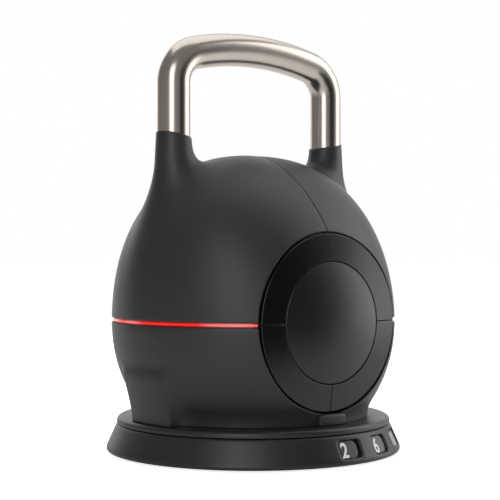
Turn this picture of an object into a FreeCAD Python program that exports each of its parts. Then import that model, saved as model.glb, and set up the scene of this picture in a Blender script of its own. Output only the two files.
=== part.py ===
"""Twist-select adjustable kettlebell on its round base.

Frame: millimetres, +Z up, origin at the centre of the base's resting plane.
The handle runs along X, the two side caps face -Y (front) and +Y (rear).
Positive turning is counter-clockwise seen from above, from -Y towards +X.
"""
import FreeCAD
import Part
import math
import os

Vector = FreeCAD.Vector

# ---------------------------------------------------------------- plates
plate_count = 5
plate_r = 88.0
plate_t = 22.0
plate_edge = 1.2             # chamfer round each plate
dowel_inset = 28.0           # dowels inside the plates' rim
dowel_r = 4.0
dowel_h = 6.0                # how far a dowel stands below its plate
dowel_gap = 0.25
dowel_seat = 5.0             # and how deep it is pressed into it
dowel_clear = 0.5            # a dowel's hole is this much deeper
spindle_r = 15.0
spindle_wall = 4.5
spindle_clear = 5.0          # plate bores round the spindle
tab_reach = 13.0             # a tab stands this far out of the spindle
tab_clear = 3.0              # pocket under each plate round the tabs
plate_pocket_h = 8.0
tab_t = 4.0
tab_half_angle = 7.5
slot_clear = 1.5             # degrees between a tab and its slot
tab_lift_gap = 1.2           # a tab under its ledge

# ---------------------------------------------------------------- settings
setting_count = 6            # 2, 6, 10, 14, 18 and 22 kg
setting_pitch = 18.5         # degrees of twist from one setting to the next
window_w = 23.0              # number window along the skirt
window_h = 14.0
window_z = 13.6              # centre height of the windows
window_corner_r = 3.2
strip_gap = 0.4              # number strip to skirt wall
strip_t = 2.0
strip_end_gap = 0.2          # number strip to floor and flange
strip_overrun = 9.0          # degrees of strip past the last window's centre

# ---------------------------------------------------------------- neck
plate_gap = 2.2              # plates in the bell's neck
neck_wall = 8.8
neck_top_z = 41.5
side_foot_low = 11.8         # wide feet under the handle legs stand out from the neck
side_foot_high = 15.6
side_foot_h = 26.5           # and rise this far above its top
side_foot_half_w = 23.5
cap_foot_out = 4.4           # narrow feet under the caps
cap_foot_half_w = 14.2
cap_foot_top_z = 39.6
cap_foot_gap = 0.3

# ---------------------------------------------------------------- base
flange_margin = 1.0          # flange bore outside the neck
skirt_ledge = 17.9           # skirt's top edge outside the flange's bore
skirt_flare = 8.9            # skirt's widest ring outside its top edge
skirt_tuck = 3.4             # rounded bottom edge inside the widest ring
base_max_z = 4.8             # height of the widest ring
skirt_bottom_z = 1.2         # the skirt hangs this far above the table
skirt_foot_in = 0.9          # short cone at the skirt's foot
skirt_foot_up = 1.2
skirt_top_z = 24.7
skirt_edge = 0.8             # chamfer round the skirt's top
skirt_wall = 3.6
flange_t = 3.6               # the skirt's inward flange that carries the turntable
floor_low_z = 2.0            # base floor plate
floor_t = 3.0
floor_gap = 0.3              # floor plate to skirt wall
foot_r = 8.0                 # rubber feet
foot_inset = 11.4            # feet inside the skirt's bottom edge
foot_count = 6
foot_sink = 1.0              # the feet's recess into the floor plate
base_screw_angles = (30, 90, 150, 210, 252)   # clear of the feet and of the number strip
base_boss_r = 4.6
base_boss_gap = 1.8          # screw bosses inside the skirt's wall
base_screw_reach = 8.0       # screws above the floor plate
base_hole_reach = 10.0

# ---------------------------------------------------------------- pedestal
stack_clear = 3.0            # pedestal deck above the turntable's top
pedestal_inset = 8.0         # pedestal deck inside the plates' rim
pedestal_deck_t = 8.0
pedestal_wall = 5.0
column_inset = 18.0          # column inside the deck's rim
pedestal_foot_t = 4.0
pedestal_foot_inset = 4.0
pedestal_screw_inset = 12.0
pedestal_screw_reach = 3.0
sleeve_wall = 6.0            # guide round the spindle's lower end

# ---------------------------------------------------------------- turntable
seam_gap = 0.7               # skirt top to turntable rim
turntable_t = 5.0
turntable_rim_r = 3.4        # rounding of the turntable's upper edge
turntable_bore_gap = 4.0     # turntable bore round the pedestal
hub_t = 7.0                  # wall of the turntable's hub that hangs in the flange
hub_gap = 0.5                # hub to flange bore
retainer_t = 3.0
retainer_lap = 4.0           # retaining ring under the flange
retainer_gap = 0.5           # retaining ring to flange underside
retainer_screws = 8
retainer_screw_reach = 6.0
slide_ring_margin = 3.0      # slide ring outside the flange's bore
slide_ring_w = 7.0
slide_ring_t = 2.6
slide_ring_gap = 0.1         # slide ring in its groove
key_r = 3.0                  # drive keys between turntable and bell
key_h = 6.0
key_inset = 4.6              # keys' ring outside the neck's bore
key_depth = 2.0              # keys below the turntable's plate
key_gap = 0.3
key_top_gap = 0.5
key_count = 4
magnet_r = 1.5               # detent magnets, set radially in flange and hub
magnet_t = 2.4
magnet_set_in = 0.2          # magnets' faces behind the bore and the hub
index_r = 1.8                # coloured index mark on the turntable
index_inset = 5.9
index_depth = 1.2
index_stand = 0.2

# ---------------------------------------------------------------- bell shell
bell_r = 121.0               # the ball's greatest radius
neck_sink = 1.07             # the neck reaches this far into the ball
crown_rise = 21.0            # the crown stands this much higher than the ball's radius
shell_wall = 4.0
seam_w = 0.5                 # parting seam over the crown

# ---------------------------------------------------------------- light line
groove_rise = 3.3            # light line and caps above the greatest ring
groove_w = 4.2
guide_h = 2.6                # visible edge of the light guide
guide_set = 0.5              # guide face inside the ball's surface
guide_flange_h = 9.0
guide_flange_t = 3.0
guide_flange_gap = 0.3       # guide flange behind the shell wall
led_strip_t = 1.0
led_strip_h = 6.0
led_gap = 0.2                # LED strip behind the guide
light_overrun = 1.4          # degrees past the caps' openings, then cut back

# ---------------------------------------------------------------- side caps
cap_r = 72.0                 # bezel
cap_groove = 1.5             # dark gap round the bezel
bezel_stand = 0.553          # outer edge of the bezel proud of the ball
bezel_rise = 4.6             # the bezel's cone stands out this far at its inner edge
bezel_t = 3.6
bezel_seam = 0.5
disc_r = 49.4
disc_gap = 0.8               # gap round the domed disc
disc_crown = 5.4
disc_t = 4.0
backplate_gap = 0.5          # backplate in the shell's opening
backplate_set = 8.4          # backplate behind the bezel's edge
backplate_t = 2.6
lug_in = 8.5                 # lugs of the shell reach in behind each backplate
lug_lap = 3.52               # and out into the wall
lug_w = 10.0
lug_t = 5.0
lug_screw_in = 4.0
bezel_boss_r = 4.0
disc_seat_in = 8.0           # ring on the backplate that the disc is screwed to
disc_seat_w = 5.0

# ---------------------------------------------------------------- handle
leg_x = 85.0                 # handle legs from the axis
tube_r = 14.0
tube_wall = 2.4
corner_r = 28.0              # bend between leg and grip, on the tube's axis
grip_top_z = 359.2
grip_bend_r = 279.0          # the grip is crowned along a long arc
horn_lip = 0.9               # horn's rim outside the tube
horn_flare = 11.1            # and its foot outside its rim
horn_low = 10.0              # horn's foot and rim above the greatest ring
horn_high = 157.0
horn_blend_r = 24.0
horn_tilt = 11.5             # the horn's rim falls towards the window, degrees
horn_gap = 0.12              # tube in the horn

# ---------------------------------------------------------------- core
stack_head = 5.0             # core frame above the plate stack
core_t = 20.0
core_half_w = 13.0
core_hub_r = 30.0
core_boss_wall = 5.0         # socket wall round each handle leg
core_flat_half = 12.0        # flats for the cross bolts' heads
leg_seat_t = 3.0             # floor of each leg's socket
leg_gap = 0.1
cross_bolt_r = 4.0
cross_bolt_gap = 0.1
cross_bolt_head_r = 7.0
cross_bolt_head_t = 4.5
spindle_flange_r = 26.0
spindle_flange_t = 4.0
spindle_end = 4.0            # spindle below the pedestal's deck
spindle_screw_r = 2.0
spindle_screw_inset = 4.5
spindle_screw_reach = 9.0
screw_r = 1.6                # small screws: shank, head
screw_head_r = 3.0
screw_head_t = 2.0
screw_gap = 0.2              # clearance round shanks and heads
carrier_gap = 5.0            # carriers inside the shell's wall
shelf_gap = 1.0              # carrier shelf under the light guide's flange
rib_gap = 0.5                # boss rib over the light guide's flange
disc_cover = 0.5             # disc left over the tip of its screws
carrier_t = 4.0
carrier_wide = 11.0          # width of the shelf between its ends
carrier_pad_w = 6.0          # pad inside each post
carrier_pad_half_angle = 8.0
carrier_half_angle = 44.0
carrier_screw_reach = 10.0
shell_boss_r = 4.5           # screw bosses inside the shell
shell_boss_inset = 14.0
shell_boss_angle = 30.0
shell_boss_h = 18.0
shell_screw_short = 4.0      # the screws stop this far below the upper bosses' tops
rib_half_t = 2.0
post_r = 4.5
post_inset = 1.0             # post inside the socket's outer wall
ear_t = 8.0                  # ears of the core frame over the carriers' posts
ear_w = 12.0
ear_out = 4.5                # past the post's axis
ear_clear = 0.5              # ears inside the shell's wall
battery_size = (58.0, 34.0, 17.0)
battery_gap = 0.3
battery_round = 3.0
tray_t = 2.0
tray_share = 0.6             # the tray's walls reach this share of the pack's height
board_size = (78.0, 30.0, 1.6)
board_gap = 5.0
board_post_r = 2.4
board_post_inset = 4.0
chips = ((0.0, 0.0, 16.0, 16.0, 2.0),         # x, y, length, width, height
         (19.0, 0.0, 10.0, 10.0, 3.0),
         (-20.0, 0.0, 8.0, 12.0, 4.5))

# ---------------------------------------------------------------- derived
neck_bore_r = plate_r + plate_gap
neck_r = neck_bore_r + neck_wall
side_foot_low_r = neck_r + side_foot_low
side_foot_high_r = neck_r + side_foot_high
side_foot_top_z = neck_top_z + side_foot_h
cap_foot_r = neck_r + cap_foot_out
flange_bore_r = neck_r + flange_margin
skirt_top_r = flange_bore_r + skirt_ledge
base_max_r = skirt_top_r + skirt_flare
base_bottom_r = base_max_r - skirt_tuck
foot_ring_r = base_bottom_r - foot_r - foot_inset
dowel_ring_r = plate_r - dowel_inset
tab_r = spindle_r + tab_reach
plate_bore_r = spindle_r + spindle_clear
plate_pocket_r = tab_r + tab_clear
pedestal_r = plate_r - pedestal_inset
pedestal_column_r = pedestal_r - column_inset
turntable_bore_r = pedestal_r + turntable_bore_gap
slide_ring_in_r = flange_bore_r + slide_ring_margin
slide_ring_out_r = slide_ring_in_r + slide_ring_w
key_ring_r = neck_bore_r + key_inset
retainer_r = flange_bore_r + retainer_lap
index_ring_r = skirt_top_r - index_inset
turntable_low_z = skirt_top_z + seam_gap
turntable_top_z = turntable_low_z + turntable_t
deck_z = turntable_top_z + stack_clear
stack_top_z = deck_z + plate_count * plate_t
core_low_z = stack_top_z + stack_head + spindle_flange_t
core_top_z = core_low_z + core_t
grip_axis_z = grip_top_z - tube_r
flange_low_z = skirt_top_z - flange_t
floor_top_z = floor_low_z + floor_t
hub_out_r = flange_bore_r - hub_gap
hub_in_r = hub_out_r - hub_t
retainer_top_z = flange_low_z - retainer_gap
crown_h = bell_r + crown_rise
bell_z = neck_top_z + math.sqrt(bell_r ** 2 - neck_r ** 2) - neck_sink
groove_z = bell_z + groove_rise
bezel_y = math.sqrt(bell_r ** 2 - cap_r ** 2) + bezel_stand
bezel_face_y = bezel_y + bezel_rise
backplate_y = bezel_y - backplate_set
opening_r = cap_r + cap_groove
lug_in_r = opening_r - lug_in
lug_out_r = math.sqrt((bell_r - shell_wall) ** 2 - backplate_y ** 2) + lug_lap
lug_screw_ring_r = opening_r - lug_screw_in
bezel_screw_r = (cap_r + disc_r) / 2
disc_seat_r = disc_r - disc_seat_in
disc_screw_r = disc_seat_r - disc_seat_w / 2
light_half_angle = 90.0 - math.degrees(math.asin(opening_r / bell_r)) + light_overrun
horn_top_r = tube_r + horn_lip
horn_low_r = horn_top_r + horn_flare
horn_low_z = bell_z + horn_low
horn_top_z = bell_z + horn_high
horn_join_low_z = bell_z + 30.0      # the joins of horn and ball lie above this height,
horn_join_wide = 2.6 * horn_low_r    # are narrower than this
horn_join_rise = 5.0                 # and climb by more than this
core_boss_r = tube_r + core_boss_wall
carrier_post_x = leg_x + core_boss_r - post_inset
carrier_in_r = carrier_post_x - post_r - carrier_pad_w
carrier_out_r = bell_r - shell_wall - carrier_gap
shell_boss_ring_r = bell_r - shell_boss_inset
shelf_low_z = groove_z - guide_flange_h / 2 - shelf_gap
shell_screw_top_z = shelf_low_z + carrier_t + shell_boss_h - shell_screw_short


def disc(radius, low_z, high_z, x=0.0, y=0.0):
    """Upright cylinder between two heights."""
    return Part.makeCylinder(radius, high_z - low_z, Vector(x, y, low_z))


def ring(out_r, in_r, low_z, high_z):
    """Upright tube between two heights."""
    return disc(out_r, low_z, high_z).cut(disc(in_r, low_z - 1, high_z + 1))


def along_y(radius, x, z, low_y, high_y):
    """Cylinder that lies along Y."""
    return Part.makeCylinder(radius, high_y - low_y, Vector(x, low_y, z), Vector(0, 1, 0))


def block(low, high):
    """Box between two corners."""
    size = [high[i] - low[i] for i in range(3)]
    return Part.makeBox(size[0], size[1], size[2], Vector(*low))


def turned(shape, degrees):
    """Copy of a shape turned about the bell's axis."""
    copy = shape.copy()
    copy.rotate(Vector(0, 0, 0), Vector(0, 0, 1), degrees)
    return copy


def spun(points):
    """Solid of revolution about Z from a closed outline of (radius, height) points."""
    corners = [Vector(r, 0, z) for r, z in points]
    outline = Part.makePolygon(corners + [corners[0]])
    return Part.Face(outline).revolve(Vector(0, 0, 0), Vector(0, 0, 1), 360)


def wedge(mid_degrees, half_angle, reach, low_z, high_z):
    """Upright slice of a disc, for cutting angular slots and arcs (under 180 degrees wide)."""
    points = [Vector(0, 0, low_z)]
    steps = 6
    for i in range(steps + 1):
        angle = math.radians(mid_degrees - half_angle + 2 * half_angle * i / steps)
        points.append(Vector(reach * math.cos(angle), reach * math.sin(angle), low_z))
    face = Part.Face(Part.makePolygon(points + [points[0]]))
    return face.extrude(Vector(0, 0, high_z - low_z))


def round_pattern(shape, count, start=0.0):
    """Copies of a shape spaced evenly about the bell's axis."""
    return [turned(shape, start + 360.0 * i / count) for i in range(count)]


def cut_all(body, tools):
    """Body with every tool taken away."""
    return body.cut(tools) if tools else body


def save(name, shapes):
    """Write one node. A list is kept as separate solids."""
    if not isinstance(shapes, list):
        shapes = [shapes]
    solids = [solid for shape in shapes for solid in shape.Solids]
    shape = solids[0] if len(solids) == 1 else Part.makeCompound(solids)
    shape.exportStep("parts/" + name + ".step")


# ================================================================ base group

def skirt_r(z, inset=0.0):
    """Radius of the flared skirt at a height, less an inset."""
    share = (z - base_max_z) / (skirt_top_z - base_max_z)
    return base_max_r + (skirt_top_r - base_max_r) * share - inset


def window_cutter(index):
    """Rounded opening through the skirt for one setting's number."""
    box = block((-window_w / 2, -base_max_r - 2, window_z - window_h / 2),
                (window_w / 2, -flange_bore_r - 8, window_z + window_h / 2))
    long_edges = [edge for edge in box.Edges
                  if edge.BoundBox.YLength > edge.BoundBox.XLength + edge.BoundBox.ZLength]
    return turned(box.makeFillet(window_corner_r, long_edges), index * setting_pitch)


def base_skirt():
    wall_low_r = skirt_r(base_max_z, skirt_wall)
    wall_top_r = skirt_r(flange_low_z, skirt_wall)
    body = spun([
        (base_bottom_r, skirt_bottom_z),
        (base_max_r - skirt_foot_in, skirt_bottom_z + skirt_foot_up),
        (base_max_r, base_max_z),
        (skirt_top_r, skirt_top_z - skirt_edge),
        (skirt_top_r - skirt_edge, skirt_top_z),
        (flange_bore_r, skirt_top_z),
        (flange_bore_r, flange_low_z),
        (wall_top_r, flange_low_z),
        (wall_low_r, base_max_z),
        (wall_low_r, skirt_bottom_z)])
    groove_low_z = turntable_low_z - slide_ring_t
    body = body.cut(ring(slide_ring_out_r, slide_ring_in_r, groove_low_z, skirt_top_z + 1))
    body = body.fuse(screw_posts(base_boss_r, floor_top_z, flange_low_z))
    body = cut_all(body, magnet_set(flange_bore_r, flange_bore_r + magnet_t + magnet_set_in))
    body = cut_all(body, screw_posts(screw_r, floor_top_z - 1, floor_top_z + base_hole_reach))
    return cut_all(body, [window_cutter(i) for i in range(setting_count)])


def screw_posts(radius, low_z, high_z):
    """Upright cylinders where the floor is screwed to the skirt."""
    screw = disc(radius, low_z, high_z, base_screw_ring_r())
    return [turned(screw, angle) for angle in base_screw_angles]


def base_screw_ring_r():
    return skirt_r(flange_low_z, skirt_wall) - base_boss_r - base_boss_gap


def base_floor():
    rim_r = skirt_r(base_max_z, skirt_wall) - floor_gap
    plate = disc(rim_r, floor_low_z, floor_top_z)
    tools = base_feet()
    tools += screw_posts(screw_r + screw_gap, 0, floor_top_z + 1)
    tools += screw_posts(screw_head_r + screw_gap, 0, floor_low_z + screw_head_t)
    tools += pedestal_screw_set(screw_r + screw_gap, 0, floor_top_z + 1)
    tools += pedestal_screw_set(screw_head_r + screw_gap, 0, floor_low_z + screw_head_t)
    return cut_all(plate, tools)


def floor_screw(reach, length):
    """Screw with a flat head, let into the underside of the floor plate."""
    head = disc(screw_head_r, floor_low_z, floor_low_z + screw_head_t, reach)
    return head.fuse(disc(screw_r, floor_low_z, floor_low_z + length, reach))


def base_screws():
    screw = floor_screw(base_screw_ring_r(), floor_t + base_screw_reach)
    return [turned(screw, angle) for angle in base_screw_angles]


def base_feet():
    foot = disc(foot_r, 0, floor_low_z + foot_sink, foot_ring_r)
    return round_pattern(foot, foot_count)


def number_strip():
    """Curved strip behind the windows that carries the printed numbers."""
    out_r = skirt_r(flange_low_z, skirt_wall) - strip_gap
    body = ring(out_r, out_r - strip_t, floor_top_z + strip_end_gap, flange_low_z - strip_end_gap)
    half_span = (setting_count - 1) * setting_pitch / 2
    return body.common(wedge(half_span - 90.0, half_span + strip_overrun, 2 * base_max_r, 0,
                             skirt_top_z))


def slide_ring():
    low_z = turntable_low_z - slide_ring_t
    return ring(slide_ring_out_r - slide_ring_gap, slide_ring_in_r + slide_ring_gap, low_z,
                turntable_low_z)


def pedestal_screw_set(radius, low_z, high_z):
    screw = disc(radius, low_z, high_z, pedestal_r - pedestal_screw_inset)
    return round_pattern(screw, 4, 45)


def pedestal():
    """Cast column that the plates stand on. It comes up through the turntable."""
    body = disc(pedestal_r, deck_z - pedestal_deck_t, deck_z)
    body = body.fuse(disc(pedestal_r - pedestal_foot_inset, floor_top_z,
                          floor_top_z + pedestal_foot_t))
    body = body.fuse(disc(pedestal_column_r, floor_top_z, deck_z))
    hollow = disc(pedestal_column_r - pedestal_wall, floor_top_z - 1, deck_z - pedestal_deck_t)
    sleeve = disc(plate_bore_r + sleeve_wall, floor_top_z, deck_z)
    body = body.cut(hollow).fuse(sleeve)
    body = body.cut(disc(plate_bore_r, floor_top_z + 3, deck_z + 1))
    body = cut_all(body, dowel_holes(deck_z))
    return cut_all(body, pedestal_screw_set(screw_r, floor_top_z - 1,
                                            floor_top_z + pedestal_screw_reach))


def pedestal_screws():
    screw = floor_screw(pedestal_r - pedestal_screw_inset, floor_t + pedestal_screw_reach)
    return round_pattern(screw, 4, 45)


def dowel_set(radius, low_z, high_z):
    """Pair of dowels, or of their holes, on the line of the handle."""
    return [disc(radius, low_z, high_z, side * dowel_ring_r) for side in (-1, 1)]


def dowel_holes(top_z):
    """Holes in an upper face for the dowels of the plate above."""
    return dowel_set(dowel_r + dowel_gap, top_z - dowel_h - dowel_clear, top_z + 1)


def weight_plate(index):
    """One steel plate. Index 0 is the top one, which every setting above the first lifts."""
    high_z = stack_top_z - index * plate_t
    low_z = high_z - plate_t
    body = disc(plate_r, low_z, high_z)
    rims = [edge for edge in body.Edges if edge.BoundBox.ZLength < 0.1]
    body = body.makeChamfer(plate_edge, rims)
    tools = [disc(plate_bore_r, low_z - 1, high_z + 1),
             disc(plate_pocket_r, low_z - 1, low_z + plate_pocket_h)]
    half_angle = tab_half_angle + slot_clear + index * setting_pitch / 2
    slot = ring(plate_pocket_r, plate_bore_r - 1, low_z - 1, high_z + 1)
    for start in (0.0, 180.0):
        middle = start + index * setting_pitch / 2
        tools.append(slot.common(wedge(middle, half_angle, plate_r * 2, low_z - 1, high_z + 1)))
    tools += dowel_set(dowel_r, low_z - 1, low_z + dowel_seat)
    if index > 0:
        tools += dowel_holes(high_z)
    return body.cut(tools)


def plate_dowels():
    dowels = []
    for index in range(plate_count):
        low_z = stack_top_z - (index + 1) * plate_t
        dowels += dowel_set(dowel_r, low_z - dowel_h, low_z + dowel_seat)
    return dowels


def magnet_set(low_r, high_r):
    """Radial cylinders in the flange, one for each setting, opposite the windows."""
    middle_z = (flange_low_z + skirt_top_z) / 2
    magnet = Part.makeCylinder(magnet_r, high_r - low_r, Vector(0, low_r, middle_z),
                               Vector(0, 1, 0))
    return [turned(magnet, index * setting_pitch) for index in range(setting_count)]


def base_magnets():
    return magnet_set(flange_bore_r + magnet_set_in, flange_bore_r + magnet_t + magnet_set_in)


# ================================================================ turntable group

def turntable_plate():
    rim_r = skirt_top_r
    body = disc(rim_r, turntable_low_z, turntable_top_z)
    upper = [edge for edge in body.Edges
             if edge.BoundBox.ZMin > turntable_top_z - 0.1 and edge.BoundBox.XLength > rim_r]
    body = body.makeFillet(turntable_rim_r, upper)
    body = body.fuse(disc(hub_out_r, retainer_top_z, turntable_low_z + 1))
    body = body.cut(disc(hub_in_r, retainer_top_z - 1, turntable_low_z))
    body = body.cut(disc(turntable_bore_r, retainer_top_z - 1, turntable_top_z + 1))
    body = cut_all(body, drive_key_set(key_r, turntable_low_z - key_depth, turntable_top_z + 1))
    body = body.cut(magnet_set(hub_out_r - magnet_t - magnet_set_in, hub_out_r + 1)[0])
    body = body.cut(disc(index_r, turntable_top_z - index_depth, turntable_top_z + 1,
                         0, -index_ring_r))
    return cut_all(body, retaining_screw_set(screw_r, retainer_top_z - 1,
                                             retainer_top_z + retainer_screw_reach))


def drive_key_set(radius, low_z, high_z):
    return round_pattern(disc(radius, low_z, high_z, key_ring_r), key_count, 45)


def retaining_screw_set(radius, low_z, high_z):
    screw = disc(radius, low_z, high_z, hub_out_r - hub_t / 2)
    return round_pattern(screw, retainer_screws, 180.0 / retainer_screws)


def retaining_ring():
    low_z = retainer_top_z - retainer_t
    body = ring(retainer_r, hub_in_r, low_z, retainer_top_z)
    return cut_all(body, retaining_screw_set(screw_r + screw_gap, low_z - 1, retainer_top_z + 1))


def turntable_magnet():
    """The one magnet that the turntable carries, set in its hub."""
    return magnet_set(hub_out_r - magnet_t - magnet_set_in, hub_out_r - magnet_set_in)[0]


def retaining_screws():
    low_z = retainer_top_z - retainer_t - screw_head_t
    heads = retaining_screw_set(screw_head_r, low_z, low_z + screw_head_t)
    shanks = retaining_screw_set(screw_r, low_z, retainer_top_z + retainer_screw_reach)
    return [head.fuse(shank) for head, shank in zip(heads, shanks)]


def index_mark():
    """Small coloured insert in the turntable's top, in line with the front foot."""
    return disc(index_r, turntable_top_z - index_depth, turntable_top_z + index_stand,
                0, -index_ring_r)


# ================================================================ bell group

def ball(inset, low_z):
    """The ball: a sphere below its widest ring and a taller half-ellipsoid above it."""
    wide = bell_r - inset
    tall = crown_h - inset
    drop = bell_z - low_z
    low_r = math.sqrt(wide * wide - drop * drop)
    ellipse = Part.Ellipse(Vector(0, 0, bell_z + tall), Vector(wide, 0, bell_z),
                           Vector(0, 0, bell_z))
    crown = Part.Arc(ellipse, 0, math.pi / 2).toShape()
    half = math.asin(drop / wide) / 2
    middle = Vector(wide * math.cos(half), 0, bell_z - wide * math.sin(half))
    belly = Part.Arc(Vector(wide, 0, bell_z), middle, Vector(low_r, 0, low_z)).toShape()
    bottom = Part.makeLine(Vector(low_r, 0, low_z), Vector(0, 0, low_z))
    axis = Part.makeLine(Vector(0, 0, low_z), Vector(0, 0, bell_z + tall))
    outline = Part.Wire(Part.__sortEdges__([crown, belly, bottom, axis]))
    solid = Part.Face(outline).revolve(Vector(0, 0, 0), Vector(0, 0, 1), 360)
    return turned(solid, -90)


def side_foot():
    """Wide foot under one handle leg, tapering in towards the turntable."""
    height = side_foot_top_z - turntable_top_z
    cone = Part.makeCone(side_foot_low_r, side_foot_high_r, height,
                         Vector(0, 0, turntable_top_z))
    window = block((neck_bore_r - 20, -side_foot_half_w, turntable_top_z),
                   (bell_r, side_foot_half_w, side_foot_top_z))
    return cone.common(window)


def bell_outer():
    """Outer form of the ball with its two horns, neck and side feet, as one solid."""
    body = ball(0.0, neck_top_z - 2)
    for side in (-1, 1):
        horn = Part.makeCone(horn_low_r, horn_top_r, horn_top_z + 6 - horn_low_z,
                             Vector(side * leg_x, 0, horn_low_z))
        body = body.fuse(horn)
    joins = []
    for edge in body.Edges:
        box = edge.BoundBox
        round_the_horn = box.XLength < horn_join_wide and box.YLength > horn_low_r
        if round_the_horn and box.ZMin > horn_join_low_z and box.ZLength > horn_join_rise:
            joins.append(edge)
    body = body.makeFillet(horn_blend_r, joins)
    for side in (-1, 1):
        rim = block((-60, -60, 0), (60, 60, 60))
        rim.rotate(Vector(0, 0, 0), Vector(0, 1, 0), -side * horn_tilt)
        rim.translate(Vector(side * leg_x, 0, horn_top_z))
        body = body.cut(rim)
    body = body.fuse(disc(neck_r, turntable_top_z, neck_top_z))
    foot = side_foot()
    return body.fuse([foot, turned(foot, 180)])


def cap_opening(sign):
    """Round opening for a cap, from inside the wall out past the ball."""
    low_y, high_y = (-bell_r - 5, -backplate_y) if sign < 0 else (backplate_y, bell_r + 5)
    return along_y(opening_r, 0, groove_z, low_y, high_y)


def bell_cavity():
    inner = ball(shell_wall, turntable_top_z + 8)
    return inner.fuse(disc(neck_bore_r, turntable_top_z - 1, bell_z))


def shell_boss(angle, upper):
    """Screw boss inside the wall, with the rib that ties it to the wall."""
    if upper:
        low_z = shelf_low_z + carrier_t
        high_z = low_z + shell_boss_h
        rib_low, rib_high = groove_z + guide_flange_h / 2 + rib_gap, high_z
    else:
        high_z = shelf_low_z
        low_z = high_z - shell_boss_h
        rib_low, rib_high = low_z, high_z - 1
    boss = disc(shell_boss_r, low_z, high_z, shell_boss_ring_r)
    rib = block((shell_boss_ring_r, -rib_half_t, rib_low),
                (bell_r - shell_wall / 2, rib_half_t, rib_high))
    rib = rib.common(ball(shell_wall / 2, turntable_top_z + 8))
    return turned(boss.fuse(rib), angle)


def shell_screw_angles():
    return [mid + sign * shell_boss_angle for mid in (0, 180) for sign in (-1, 1)]


def shell_screw_set(radius, low_z, high_z):
    screw = disc(radius, low_z, high_z, shell_boss_ring_r)
    return [turned(screw, angle) for angle in shell_screw_angles()]


def shell_screws():
    """Long screws from below: lower shell, light carrier, upper shell."""
    low_z = shelf_low_z - shell_boss_h
    shanks = shell_screw_set(screw_r, low_z, shell_screw_top_z)
    heads = shell_screw_set(screw_head_r, low_z, low_z + screw_head_t)
    return [shank.fuse(head) for shank, head in zip(shanks, heads)]


def cap_lug(sign, turn):
    """Lug inside the shell that a cap's backplate is screwed to."""
    lug = block((lug_in_r, -lug_w / 2, -lug_t), (lug_out_r, lug_w / 2, 0))
    lug = lug.cut(disc(screw_r, -lug_t - 1, 1, lug_screw_ring_r))
    return placed_on_cap(turned(lug, 45 + 90 * turn), sign, backplate_y)


def shell_blank():
    """Whole hollow shell before it is parted into its four mouldings."""
    body = bell_outer().cut(bell_cavity())
    bosses = [cap_lug(sign, turn) for sign in (-1, 1) for turn in range(4)]
    for angle in shell_screw_angles():
        bosses += [shell_boss(angle, True), shell_boss(angle, False)]
    body = body.fuse(bosses)
    low_z = shelf_low_z - shell_boss_h
    body = cut_all(body, shell_screw_set(screw_r, low_z - 1, shell_screw_top_z))
    body = cut_all(body, shell_screw_set(screw_head_r + screw_gap, low_z - 1, low_z + screw_head_t))
    tools = []
    for side in (-1, 1):
        tools.append(disc(tube_r + horn_gap, bell_z + 20, horn_top_z + 20, side * leg_x))
        tools.append(cap_opening(side))
        tools.append(cap_foot_slot(side))
    tools += drive_key_set(key_r + key_gap, turntable_top_z - 1,
                           turntable_top_z + key_h + key_top_gap)
    return body.cut(tools)


def cap_foot_slot(sign):
    half = cap_foot_half_w + cap_foot_gap
    low_y, high_y = sorted((sign * (neck_bore_r - 2), sign * (neck_r + 10)))
    return block((-half, low_y, turntable_top_z - 1), (half, high_y, cap_foot_top_z + cap_foot_gap))


def shell_quarter(blank, side, upper):
    """One of the four mouldings. The light groove and the crown seam part them."""
    reach = bell_r + 20
    if upper:
        low_z, high_z = groove_z + groove_w / 2, horn_top_z + 20
    else:
        low_z, high_z = turntable_top_z - 1, groove_z - groove_w / 2
    low_x, high_x = sorted((side * seam_w / 2, side * reach))
    return blank.common(block((low_x, -reach, low_z), (high_x, reach, high_z)))


def cap_foot(sign):
    """Narrow foot under a cap. It closes the gap between the two lower mouldings."""
    body = ring(cap_foot_r, neck_bore_r, turntable_top_z, cap_foot_top_z)
    low_y, high_y = sorted((sign * (neck_bore_r - 10), sign * (neck_r + 10)))
    body = body.common(block((-cap_foot_half_w, low_y, 0), (cap_foot_half_w, high_y, groove_z)))
    return body.cut(along_y(opening_r, 0, groove_z, -bell_r, bell_r))


def arc_band(side, out_r, in_r, low_z, high_z, half_angle):
    """Curved band on one side of the bell, between the two caps."""
    mid = 0.0 if side > 0 else 180.0
    body = ring(out_r, in_r, low_z, high_z)
    return body.common(wedge(mid, half_angle, bell_r * 3, low_z - 1, high_z + 1))


def light_guide(side):
    """Moulded light guide: a thin edge in the groove on a flange behind the walls."""
    edge_r = bell_r - guide_set
    flange_r = bell_r - shell_wall - guide_flange_gap
    edge = arc_band(side, edge_r, flange_r - 1, groove_z - guide_h / 2, groove_z + guide_h / 2,
                    light_half_angle)
    flange = arc_band(side, flange_r, flange_r - guide_flange_t, groove_z - guide_flange_h / 2,
                      groove_z + guide_flange_h / 2, light_half_angle)
    return cut_all(edge.fuse(flange), cap_clearances())


def cap_clearances():
    """Space of both caps and their backplates, which the light parts stop short of."""
    return [cap_opening(-1), cap_opening(1)]


def led_strip(side):
    out_r = bell_r - shell_wall - guide_flange_gap - guide_flange_t - led_gap
    strip = arc_band(side, out_r, out_r - led_strip_t, groove_z - led_strip_h / 2,
                     groove_z + led_strip_h / 2, light_half_angle)
    return cut_all(strip, cap_clearances())


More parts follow.
